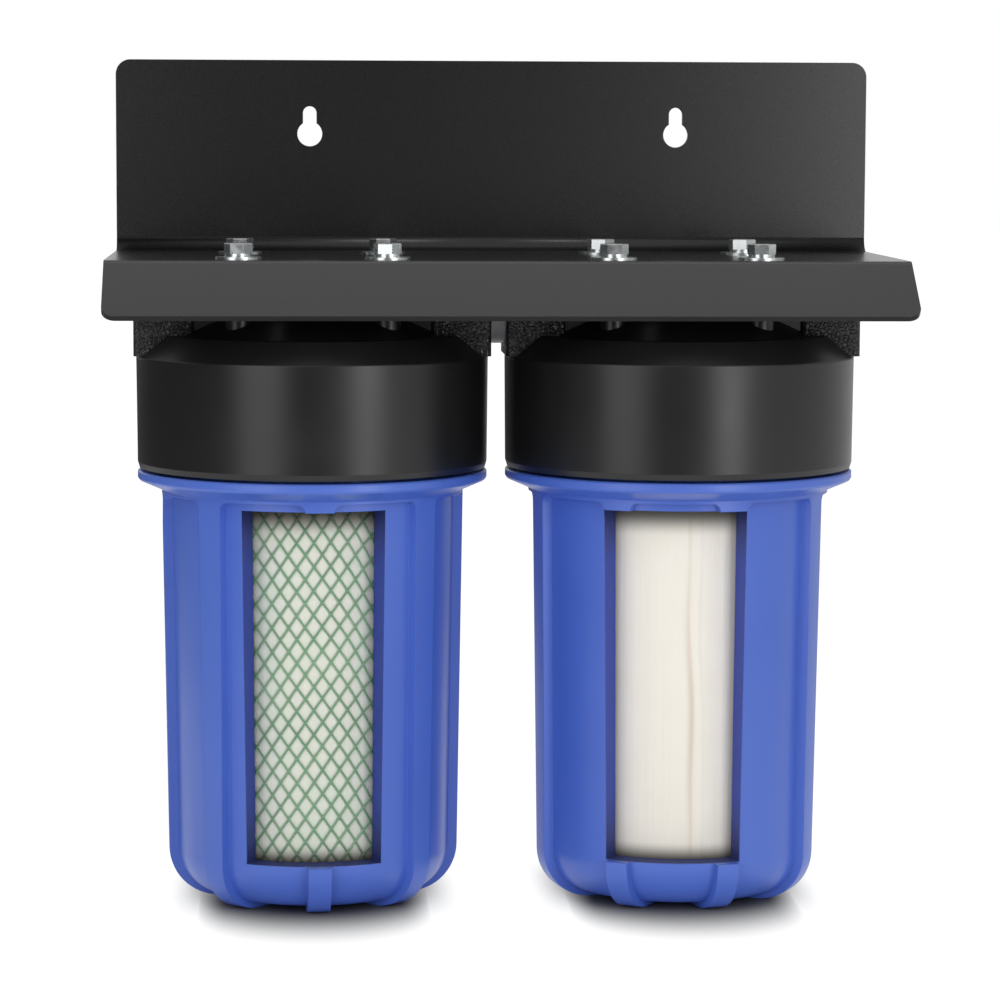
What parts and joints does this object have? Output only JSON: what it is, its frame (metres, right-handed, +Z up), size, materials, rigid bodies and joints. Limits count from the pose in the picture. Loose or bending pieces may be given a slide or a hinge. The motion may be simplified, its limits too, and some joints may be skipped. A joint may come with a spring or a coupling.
{
  "type": "two-stage water filter",
  "caption": "Wall-bracket water filter: windowed blue sumps screw up into black caps joined by a nipple, each holding a cartridge between inlet and outlet ports.",
  "frame": {"origin": "on the surface that the sumps stand on, under the middle of the whole part", "axes": "+X to the viewer's right along the wall, +Y towards the wall, +Z up along the housings' axes"},
  "size_m": [0.4128, 0.193, 0.4407],
  "materials": {
    "black_powder_coat": "satin powder coat",
    "black_plastic": "satin moulded",
    "blue_plastic": "satin moulded",
    "black_rubber": "smooth",
    "white_rubber": "smooth",
    "white_plastic": "moulded",
    "carbon": "sintered block",
    "depth_medium": "spun fibre",
    "fleece": "felted fleece",
    "spun_wrap": "smooth spun wrap",
    "green_net": "extruded net",
    "grey_plastic": "smooth pipe",
    "zinc_steel": "bright zinc"
  },
  "bodies": {
    "head": {"wall_bracket": "black_powder_coat", "joining_nipple": "grey_plastic", "left_cap": "black_plastic", "left_cap_bolts": "zinc_steel", "left_lock_washers": "zinc_steel", "left_flat_washers": "zinc_steel", "right_cap": "black_plastic", "right_cap_bolts": "zinc_steel", "right_lock_washers": "zinc_steel", "right_flat_washers": "zinc_steel"},
    "left_cartridge": {"left_core_tube": "white_plastic", "left_carbon_block": "carbon", "left_outer_wrap": "fleece", "left_net_sleeve": "green_net", "left_lower_end_cap": "white_plastic", "left_lower_gasket": "white_rubber", "left_upper_end_cap": "white_plastic", "left_upper_gasket": "white_rubber"},
    "left_sump": {"left_sump": "blue_plastic", "left_sump_seal": "black_rubber"},
    "right_cartridge": {"right_core_tube": "white_plastic", "right_depth_medium": "depth_medium", "right_outer_wrap": "spun_wrap", "right_lower_end_cap": "white_plastic", "right_lower_gasket": "white_rubber", "right_upper_end_cap": "white_plastic", "right_upper_gasket": "white_rubber"},
    "right_sump": {"right_sump": "blue_plastic", "right_sump_seal": "black_rubber"}
  },
  "joints": [
    {"name": "left_sump_lower", "type": "slide", "parent": "head", "child": "left_cartridge", "axis": [0, 0, -1], "range_m": [0, 0.022]},
    {"name": "left_sump_unscrew", "type": "hinge", "parent": "left_cartridge", "child": "left_sump", "pos_m": [-0.1003, -0.0045, 0], "axis": [0, 0, -1], "range_deg": [0, 1260]},
    {"name": "right_sump_lower", "type": "slide", "parent": "head", "child": "right_cartridge", "axis": [0, 0, -1], "range_m": [0, 0.022]},
    {"name": "right_sump_unscrew", "type": "hinge", "parent": "right_cartridge", "child": "right_sump", "pos_m": [0.0927, -0.0045, 0], "axis": [0, 0, -1], "range_deg": [0, 1260]}
  ],
  "couplings": [
    {"joint": "left_sump_lower", "follows": "left_sump_unscrew", "m_per_rad": 0.00095493},
    {"joint": "right_sump_lower", "follows": "right_sump_unscrew", "m_per_rad": 0.00095493}
  ]
}
